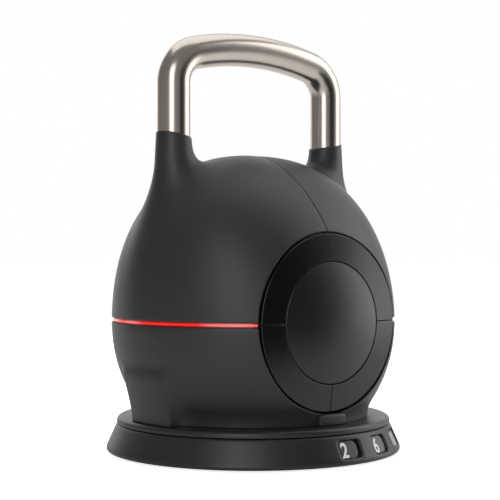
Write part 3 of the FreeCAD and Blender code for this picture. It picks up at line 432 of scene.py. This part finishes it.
def lit_acrylic(name, dark_front):
    """Red acrylic lit from behind. One guide is masked where it ends by the front cap."""
    made = bpy.data.materials.new(name)
    made.use_nodes = True
    tree = made.node_tree
    shader = tree.nodes["Principled BSDF"]
    place = put(tree, "ShaderNodeTexCoord")
    lamps = put(tree, "ShaderNodeTexNoise", values={"Scale": 1 / lamp_spacing, "Detail": 0.0},
                links={"Vector": place.outputs["Object"]})
    near = put(tree, "ShaderNodeMapRange", {"interpolation_type": "SMOOTHSTEP"},
               {"From Min": lamp_far, "From Max": lamp_near}, {"Value": lamps.outputs["Fac"]})
    tint = put(tree, "ShaderNodeMix", {"data_type": "RGBA"},
               {"A": srgb("ee1c18"), "B": srgb("f67c7a")}, {"Factor": near.outputs["Result"]})
    along = put(tree, "ShaderNodeSeparateXYZ", links={"Vector": place.outputs["Object"]})
    level = put(tree, "ShaderNodeMapRange",
                values={"From Min": -dark_end, "From Max": -dark_fade * dark_end,
                        "To Min": 0.0 if dark_front else 1.0},
                links={"Value": along.outputs["Y"]})
    tree.links.new(tint.outputs["Result"], shader.inputs["Emission Color"])
    off_middle = put(tree, "ShaderNodeMath", {"operation": "SUBTRACT"}, {1: guide_middle},
                     {0: along.outputs["Z"]})
    border = put(tree, "ShaderNodeMath", {"operation": "ABSOLUTE"},
                 links={0: off_middle.outputs["Value"]})
    core = put(tree, "ShaderNodeMapRange", values={"From Min": border_half, "From Max": core_half,
                                                   "To Min": border_glow},
               links={"Value": border.outputs["Value"]})
    both = put(tree, "ShaderNodeMath", {"operation": "MULTIPLY"},
               links={0: level.outputs["Result"], 1: core.outputs["Result"]})
    tree.links.new(both.outputs["Value"], shader.inputs["Emission Strength"])
    shader.inputs["Base Color"].default_value = srgb("4a0a09" if dark_front else "7a0c0a")
    shader.inputs["Roughness"].default_value = 0.3
    return made


dress("light_guide_left", lit_acrylic("lit_red_acrylic", False))
dress("light_guide_right", lit_acrylic("masked_red_acrylic", True))

# ---- Ball shell ------------------------------------------------------------------
# Four mouldings in black ABS with a soft-touch coat: dull, velvety, very finely
# grained. They meet on a seam over the crown and on the groove of the light line.
ball_wide = 122.3
ball_tall = 144.3
shoulder_round = 2.45
face_round = 1.71
ball_height = 110.0
leg_reach = 85.0
horn_top_r = 14.5
horn_low_r = 22.0
horn_low_z = 120.0
horn_end_z = 273.0
horn_bore = 14.12
horn_rim_z = 267.0
horn_tilt = math.radians(11.5)
horn_flow = 24.0
neck_r = 99.0
neck_top = 60.0
neck_flow = 4.0
neck_bore = 90.2
wall = 4.0
foot_low_r, foot_high_r = 112.4, 116.2
foot_half = 26.4
foot_top = 68.0
foot_edge, foot_top_edge = 4.0, 6.0
foot_flow = 15.0
straight_from, straight_over = 85.0, 25.0
bore_from = 150
crown_half = 45.0
seam_half = 0.25
edge_r = 0.5
edge_row = 0.3
weld = 0.02
on_plane = 0.01
slot_half = 14.5
slot_top = 39.9
groove_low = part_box("lower_shell_left")[1].z / mm
groove_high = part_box("upper_shell_left")[0].z / mm
neck_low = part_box("lower_shell_left")[0].z / mm
cap_height = (groove_low + groove_high) / 2
opening_r = 74.1


def ball_field(x, y, z):
    """Sphere below the widest ring. Above it the ball is taller, broad towards the legs and
    leaner towards the caps."""
    flat = np.sqrt(x * x + y * y)
    rise = np.abs(z - ball_height)
    towards_leg = x * x / np.maximum(flat * flat, 1e-9)
    power = face_round + (shoulder_round - face_round) * towards_leg
    power = np.where(z > ball_height, power, 2.0)
    tall = np.where(z > ball_height, ball_tall, ball_wide)
    size = ((flat / ball_wide) ** power + (rise / tall) ** power) ** (1 / power)
    return np.hypot(flat, rise) * (1 - 1 / np.maximum(size, 1e-3))


def shell_field(x, y, z):
    """Outside of the ball with horns, neck and side feet flowing into it."""
    horn_r = horn_top_r + (horn_end_z - z) * (horn_low_r - horn_top_r) / (horn_end_z - horn_low_z)
    horn = np.hypot(np.abs(x) - leg_reach, y) - horn_r
    horn = np.maximum(horn, horn_low_z - z)
    body = soft_min(ball_field(x, y, z), horn, horn_flow)
    reach = np.hypot(x, y)
    body = soft_min(body, np.maximum(reach - neck_r, z - neck_top), neck_flow)
    lean = (foot_high_r - foot_low_r) / (foot_top - neck_low)
    foot = soft_max(reach - foot_low_r - lean * (z - neck_low), np.abs(y) - foot_half, foot_edge)
    foot = soft_max(foot, z - foot_top, foot_top_edge)
    return soft_min(body, foot, foot_flow)


def part_off(mesh, place, direction, rounding, beyond=0.0):
    """Cut a mesh on a plane, where it is farther than beyond from the middle plane. Two rows
    of points just inside the cut carry its rounded edge."""
    for depth in (rounding, edge_row * rounding, 0.0):
        verts = [vert for vert in mesh.verts if abs(vert.co.x) >= beyond]
        taken = set(verts)
        edges = [edge for edge in mesh.edges if taken.issuperset(edge.verts)]
        faces = [face for face in mesh.faces if taken.issuperset(face.verts)]
        bmesh.ops.bisect_plane(mesh, geom=verts + edges + faces,
                               dist=1e-5, plane_co=place - direction * depth,
                               plane_no=direction, clear_outer=depth == 0.0)


def round_cap(mesh, side, inward):
    """Points of a mesh as radius and angle about the caps' axis, or back again."""
    for vert in mesh.verts:
        a, b, c = vert.co
        if inward:
            vert.co = (math.hypot(a, c - cap_height), b, math.atan2(c - cap_height, side * a))
        else:
            vert.co = (side * a * math.cos(c), b, cap_height + a * math.sin(c))


def shell_moulding(name, side, upper, node):
    """One quarter of the shell: outer skin, parted, rounded at its edges and given its wall."""
    mesh = bmesh.new()
    verts = [mesh.verts.new(p) for p in outer_points]
    for face in outer_faces:
        mesh.faces.new([verts[i] for i in face])
    ends = [(Vector((side * seam_half, 0, 0)), Vector((-side, 0, 0)), 0.0)]
    if upper:
        ends.append((Vector((0, 0, groove_high)), Vector((0, 0, -1)), 0.0))
        lean = Vector((-side * math.sin(horn_tilt), 0, math.cos(horn_tilt)))
        ends.append((Vector((side * leg_reach, 0, horn_rim_z)), lean, crown_half))
    else:
        ends.append((Vector((0, 0, groove_low)), Vector((0, 0, 1)), 0.0))
        ends.append((Vector((0, 0, neck_low)), Vector((0, 0, -1)), 0.0))
    for place, direction, beyond in ends:
        part_off(mesh, place, direction, edge_r, beyond)
    round_cap(mesh, side, True)
    part_off(mesh, Vector((opening_r, 0, 0)), Vector((-1, 0, 0)), edge_r)
    round_cap(mesh, side, False)
    if not upper:
        for place, direction in ((Vector((side * slot_half, 0, 0)), Vector((1, 0, 0))),
                                 (Vector((0, 0, slot_top)), Vector((0, 0, 1)))):
            bmesh.ops.bisect_plane(mesh, geom=mesh.verts[:] + mesh.edges[:] + mesh.faces[:],
                                   dist=1e-5, plane_co=place, plane_no=direction)
        gone = []
        for face in mesh.faces:
            middle = face.calc_center_median()
            if abs(middle.x) < slot_half and middle.z < slot_top:
                gone.append(face)
        bmesh.ops.delete(mesh, geom=gone, context="FACES")
    bmesh.ops.remove_doubles(mesh, verts=mesh.verts[:], dist=weld)
    mesh.verts.index_update()
    outer = np.array([vert.co for vert in mesh.verts])
    faces = [[vert.index for vert in face.verts] for face in mesh.faces]
    rims = []
    for edge in mesh.edges:
        if len(edge.link_faces) == 1:
            loop = edge.link_loops[0]
            rims.append((loop.vert.index, loop.link_loop_next.vert.index))
    mesh.free()

    slope = gradient(shell_field, outer)
    normal = slope / np.linalg.norm(slope, axis=1)[:, None]
    inward = -wall * normal
    reach = np.hypot(outer[:, 0], outer[:, 1])
    bore = np.sqrt(np.maximum((ball_wide - wall) ** 2 - (outer[:, 2] - ball_height) ** 2, 1.0))
    inner_reach = np.maximum(bore, neck_bore)
    straight = np.stack([outer[:, 0], outer[:, 1], 0 * reach], 1)
    straight = straight * (inner_reach / reach - 1)[:, None]
    share = np.clip((straight_from - outer[:, 2]) / straight_over, 0, 1)[:, None]
    inward = inward * (1 - share) + straight * share

    from_cap = outer - np.array([0, 0, cap_height])
    from_cap[:, 1] = 0
    cap_reach = np.linalg.norm(from_cap, axis=1)
    cuts = []
    for place, direction, beyond in ends:
        depth = (np.array(place) - outer) @ np.array(direction)
        depth = np.where(np.abs(outer[:, 0]) >= beyond, depth, 2 * edge_r)
        cuts.append((depth, np.tile(np.array(direction), (len(outer), 1))))
    cuts.append((cap_reach - opening_r, from_cap / cap_reach[:, None]))
    sunk = np.zeros(len(outer))
    for depth, direction in cuts:
        short = edge_r - np.clip(depth, 0, edge_r)
        sunk = np.maximum(sunk, edge_r - np.sqrt(edge_r ** 2 - short ** 2))
        on_cut = np.abs(depth) < on_plane
        across = (inward * direction).sum(1)[:, None] * direction
        inward[on_cut] -= across[on_cut]
    if not upper:
        on_slot = np.abs(np.abs(outer[:, 0]) - slot_half) < on_plane
        on_slot &= outer[:, 2] < slot_top + on_plane
        inward[on_slot, 0] = 0
    inner = outer + inward
    aside = inner[:, 0] - side * leg_reach
    from_leg = np.hypot(aside, inner[:, 1])
    tight = (from_leg < horn_bore) & (inner[:, 2] > bore_from)
    grow = horn_bore / from_leg[tight]
    inner[tight, 0] = side * leg_reach + aside[tight] * grow
    inner[tight, 1] *= grow
    outer = outer - normal * sunk[:, None]
    count = len(outer)
    faces += [[i + count for i in reversed(face)] for face in faces]
    faces += [[b, a, a + count, b + count] for a, b in rims]
    return piece(name, np.concatenate([outer, inner]) * mm, faces, soft_touch, "bell",
                 [node], 50.0)


soft_touch = surface("soft_touch_coat", "222223", "252526", 0.48, 0.03, 60 * mm, 0.45 * mm,
                     0.012 * mm)
shell_step = 2.2
shell_room = ((-127, -127, 24), (127, 127, 277))
outer_points, outer_faces = skin(shell_field, *shell_room, shell_step)
shell_moulding("ball_upper_left", -1, True, "upper_shell_left")
shell_moulding("ball_upper_right", 1, True, "upper_shell_right")
shell_moulding("ball_lower_left", -1, False, "lower_shell_left")
shell_moulding("ball_lower_right", 1, False, "lower_shell_right")

# ---- Narrow feet -----------------------------------------------------------------
# Small moulded filler under each cap that closes the gap between the two lower
# mouldings and stands on the turntable. Same soft-touch coat.
cap_foot_half = 14.2
cap_foot_r = 103.4
cap_foot_gap = 0.3
cap_foot_side, cap_foot_over, cap_foot_edge = 2.0, 2.4, 1.0


def cap_foot_field(x, y, z):
    """Curved block with rounded corners."""
    reach = np.hypot(x, y)
    body = soft_max(reach - cap_foot_r, np.abs(x) - cap_foot_half, cap_foot_side)
    body = soft_max(body, z - (slot_top - cap_foot_gap), cap_foot_over)
    body = soft_max(body, neck_bore - reach, cap_foot_edge)
    return soft_max(body, neck_low - z, cap_foot_edge)


cap_foot_step = 0.8
cap_foot_room = ((-16, -105, 28.5), (16, -86, 42))
foot_points, foot_faces = skin(cap_foot_field, *cap_foot_room, cap_foot_step)
piece("front_filler", foot_points * mm, foot_faces, soft_touch, "bell",
      ["front_foot"], 60.0)
half_turn = foot_points * np.array([-1, -1, 1])
piece("rear_filler", half_turn * mm, foot_faces, soft_touch, "bell",
      ["rear_foot"], 60.0)

# ---- Side caps -------------------------------------------------------------------
# On each cap a cone-shaped bezel in four moulded segments surrounds a shallow dome.
# Both are satin black ABS, smoother and a little glossier than the ball. The bezel is
# coloured darker than the dome, as painted shade.
bezel_out_r = 72.0
bezel_in_r = 50.2
bezel_rise = 2.6
bezel_t = 3.6
bezel_gap_half = 0.25
bezel_edge = 98.6
bezel_rows = 4
segment_steps = 64
dome_r = 49.4
dome_crown = 5.4
dome_t = 4.0
dome_rows, dome_around = 20, 160
dome_back = 0.5
bevel = 0.4
cap_abs = surface("cap_satin_abs", "151516", "18181a", 0.32, 0.03, 40 * mm, 0.35 * mm, 0.008 * mm)
# The bezel's colour is set darker than the dome's: painted shade for the black ring round the dome.
bezel_abs_painted_shade = surface("bezel_painted_shade_abs", "060606", "080808", 0.24, 0.02, 40 * mm, 0.35 * mm,
                    0.004 * mm)


def onto_cap(points, sign, height):
    """Move a piece made about +Z on to the front (-1) or rear (+1) cap, at a height there."""
    points = np.array(points)
    out = sign * (points[:, 2] + height)
    return np.stack([points[:, 0], out, cap_height - sign * points[:, 1]], 1) * mm


def softened(made, width):
    """Round the sharp edges of a piece with two small facets."""
    tool = made.modifiers.new("edge", "BEVEL")
    tool.width = width
    tool.segments = 2
    tool.limit_method = "ANGLE"
    tool.angle_limit = math.radians(40)


def bezel_segment(turn, sign):
    """Closed quarter of the bezel. Its ends stay parallel to the seam."""
    outline = [(bezel_out_r, 0.0)]
    outline += [(bezel_in_r + (bezel_out_r - bezel_in_r) * (1 - i / bezel_rows),
                 bezel_rise * i / bezel_rows) for i in range(1, bezel_rows + 1)]
    outline += [(bezel_in_r, bezel_rise - bezel_t), (bezel_out_r, -bezel_t)]
    points, faces = [], []
    size = len(outline)
    for step in range(segment_steps + 1):
        for reach, height in outline:
            start = math.asin(bezel_gap_half / reach)
            angle = start + (math.pi / 2 - 2 * start) * step / segment_steps
            angle += math.pi / 2 * turn
            points.append((reach * math.cos(angle), reach * math.sin(angle), height))
    for step in range(segment_steps):
        low = step * size
        for i in range(size):
            j = (i + 1) % size
            faces.append((low + i, low + size + i, low + size + j, low + j))
    last = segment_steps * size
    faces.append(tuple(range(size)))
    faces.append(tuple(last + i for i in reversed(range(size))))
    return onto_cap(points, sign, bezel_edge), faces


def dome():
    """Closed shallow dome with a short rim, made about +Z."""
    sphere = (dome_r ** 2 + dome_crown ** 2) / (2 * dome_crown)
    around = dome_around
    rings = [dome_r * i / dome_rows for i in range(1, dome_rows + 1)]
    rows = [(reach, dome_crown - sphere + math.sqrt(sphere ** 2 - reach ** 2)) for reach in rings]
    rows += [(dome_r, -dome_t), (dome_r * dome_back, -dome_t)]
    points = [(0, 0, dome_crown)]
    for reach, height in rows:
        for k in range(around):
            angle = 2 * math.pi * k / around
            points.append((reach * math.cos(angle), reach * math.sin(angle), height))
    points.append((0, 0, -dome_t))
    end = len(points) - 1
    faces = []
    for k in range(around):
        l = (k + 1) % around
        faces.append((0, 1 + k, 1 + l))
        for row in range(len(rows) - 1):
            a = 1 + row * around
            faces.append((a + k, a + around + k, a + around + l, a + l))
        a = 1 + (len(rows) - 1) * around
        faces.append((a + l, a + k, end))
    return points, faces


def outward(made):
    """Turn every face of a closed mesh to point out."""
    mesh = bmesh.new()
    mesh.from_mesh(made.data)
    bmesh.ops.recalc_face_normals(mesh, faces=mesh.faces[:])
    mesh.to_mesh(made.data)
    mesh.free()
    return made


dome_points, dome_faces = dome()
for sign, word in ((-1, "front"), (1, "rear")):
    for turn in range(4):
        name = "%s_bezel_%d" % (word, turn + 1)
        points, faces = bezel_segment(turn, sign)
        made = piece(word + "_cone_%d" % (turn + 1), points, faces, bezel_abs_painted_shade, "bell",
                     [name])
        softened(outward(made), bevel * mm)
    made = piece(word + "_dome", onto_cap(dome_points, sign, bezel_edge + bezel_rise), dome_faces,
                 cap_abs, "bell", [word + "_cap_disc"])
    softened(outward(made), bevel * mm)

# ---- Handle ----------------------------------------------------------------------
# Steel tube bent at both corners and gently crowned over the grip, blasted and
# plated in satin nickel. Warm grey, soft reflections, a grain too fine to see.
tube_r = 14.0
tube_bore_r = 11.6
corner_r = 28.0
crown_r = 279.0
grip_axis = 345.2
leg_steps, bend_steps, grip_steps = 30, 36, 40
around = 72
leg_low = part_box("handle_tube")[0].z / mm
satin_nickel = surface("satin_nickel", "c2b9b0", "bcb3aa", 0.24, 0.03, 40 * mm, 0.4 * mm,
                       0.004 * mm, metal=1.0)


def handle_line():
    """Points and directions along the tube's axis, from the left leg to the right one."""
    centre = grip_axis - crown_r
    bend_x = leg_reach - corner_r
    bend_z = centre + math.sqrt((crown_r - corner_r) ** 2 - bend_x ** 2)
    lean = math.atan2(bend_x, bend_z - centre)
    line = [(leg_reach, leg_low + (bend_z - leg_low) * i / leg_steps, 0.0)
            for i in range(leg_steps)]
    for i in range(bend_steps):
        turn = (math.pi / 2 - lean) * i / bend_steps
        line.append((bend_x + corner_r * math.cos(turn), bend_z + corner_r * math.sin(turn), turn))
    for i in range(grip_steps + 1):
        turn = lean * (1 - i / grip_steps)
        line.append((crown_r * math.sin(turn), centre + crown_r * math.cos(turn),
                     math.pi / 2 - turn))
    mirrored = [(-x, z, math.pi - turn) for x, z, turn in line[-2::-1]]
    return line + mirrored


points, faces = [], []
line = handle_line()
for radius in (tube_r, tube_bore_r):
    for x, z, turn in line:
        for k in range(around):
            angle = 2 * math.pi * k / around
            out = radius * math.cos(angle)
            points.append((x + out * math.cos(turn), radius * math.sin(angle),
                           z + out * math.sin(turn)))
count = len(line) * around
for row in range(len(line) - 1):
    for k in range(around):
        l = (k + 1) % around
        a, b = row * around, (row + 1) * around
        faces.append((a + k, a + l, b + l, b + k))
        faces.append((count + a + k, count + b + k, count + b + l, count + a + l))
for row in (0, len(line) - 1):
    for k in range(around):
        l = (k + 1) % around
        a = row * around
        faces.append((a + k, a + l, count + a + l, count + a + k))
outward(piece("bent_handle", np.array(points) * mm, faces, satin_nickel, "bell",
              ["handle_tube"]))

# ---- Studio ----------------------------------------------------------------------
# White acrylic light table in an evenly white room. Soft boxes stand by the camera, to
# the right, to the left, above and behind, and a black flag keeps the front cap dark.
camera_turn = math.radians(39.3)
camera_far = 1.096
camera_height = 0.1652
lens_length = 90.7
lens_shift = (-0.0064, 0.0172)
floor_half = 40.0
flag_bearing = 55.0
flag_far = 0.55
flag_wide = 0.38
flag_tall = 0.5
room_light = 0.26
table_light = (0.10, 0.80)


def soft_box(name, bearing, far, height, size, radiance):
    """Rectangular light that faces the ball. Bearing is counted from the camera to the right."""
    turn = math.radians(bearing) - camera_turn
    data = bpy.data.lights.new(name, "AREA")
    data.shape = "RECTANGLE"
    data.size, data.size_y = size
    data.energy = radiance * math.pi * size[0] * size[1]
    made = bpy.data.objects.new(name, data)
    made.location = (far * math.sin(turn), -far * math.cos(turn), height)
    made.rotation_euler = (math.atan2(far, height - ball_height * mm), 0, turn)
    made.visible_camera = False
    bpy.context.scene.collection.objects.link(made)


def link_brightness(tree, socket, to_room, to_camera):
    """Let a light look brighter to the camera than it is to the room."""
    seen = put(tree, "ShaderNodeLightPath")
    level = put(tree, "ShaderNodeMapRange", values={"To Min": to_room, "To Max": to_camera},
                links={"Value": seen.outputs["Is Camera Ray"]})
    tree.links.new(level.outputs["Result"], socket)


def stage_panel(name, corners, material):
    """Flat sheet of the studio."""
    mesh = bpy.data.meshes.new(name)
    mesh.from_pydata(corners, [], [(0, 1, 2, 3)])
    mesh.materials.append(material)
    made = bpy.data.objects.new(name, mesh)
    bpy.context.scene.collection.objects.link(made)
    return made


soft_box("camera_box", -12, 1.4, 0.60, (0.6, 1.1), 3.2)
soft_box("right_box", 108, 1.2, 0.60, (0.95, 1.4), 2.2)
soft_box("left_box", -140, 1.4, 0.60, (0.6, 1.3), 0.9)
soft_box("top_box", 180, 0.25, 1.2, (1.2, 1.0), 1.3)
soft_box("wall_box", 180, 1.7, 0.75, (2.4, 1.5), 1.0)

world = bpy.data.worlds.new("white_room")
world.use_nodes = True
tree = world.node_tree
background = tree.nodes["Background"]
link_brightness(tree, background.inputs["Strength"], room_light, 1.0)
background.inputs["Color"].default_value = (1, 1, 1, 1)
bpy.context.scene.world = world
bpy.context.scene.view_settings.view_transform = "Standard"

white = surface("white_light_table", "f4f4f4", "f6f6f6", 0.6, 0.02, 1.0, 0.05, 0.0001,
                extra={"Emission Color": (1, 1, 1, 1)})
table_shader = white.node_tree.nodes["Principled BSDF"]
link_brightness(white.node_tree, table_shader.inputs["Emission Strength"], *table_light)
stage_panel("studio_floor", [(-floor_half, -floor_half, 0), (floor_half, -floor_half, 0),
                             (floor_half, floor_half, 0), (-floor_half, floor_half, 0)], white)

flag_cloth = surface("black_flag_cloth", "0a0a0a", "0d0d0d", 0.9, 0.02, 0.1, 0.002, 0.0002)
flag_turn = math.radians(flag_bearing) - camera_turn
flag_middle = np.array((flag_far * math.sin(flag_turn), -flag_far * math.cos(flag_turn), 0))
flag_across = np.array((math.cos(flag_turn), math.sin(flag_turn), 0)) * flag_wide / 2
flag_up = np.array((0, 0, flag_tall))
stage_panel("black_flag", [flag_middle - flag_across, flag_middle + flag_across,
                           flag_middle + flag_across + flag_up,
                           flag_middle - flag_across + flag_up],
            flag_cloth).visible_camera = False

lens = bpy.data.cameras.new("camera")
lens.sensor_width = 36
lens.lens = lens_length
lens.shift_x, lens.shift_y = lens_shift
camera = bpy.data.objects.new("camera", lens)
camera.location = (-camera_far * math.sin(camera_turn), -camera_far * math.cos(camera_turn),
                   camera_height)
camera.rotation_euler = (math.pi / 2, 0, -camera_turn)
bpy.context.scene.collection.objects.link(camera)
bpy.context.scene.camera = camera
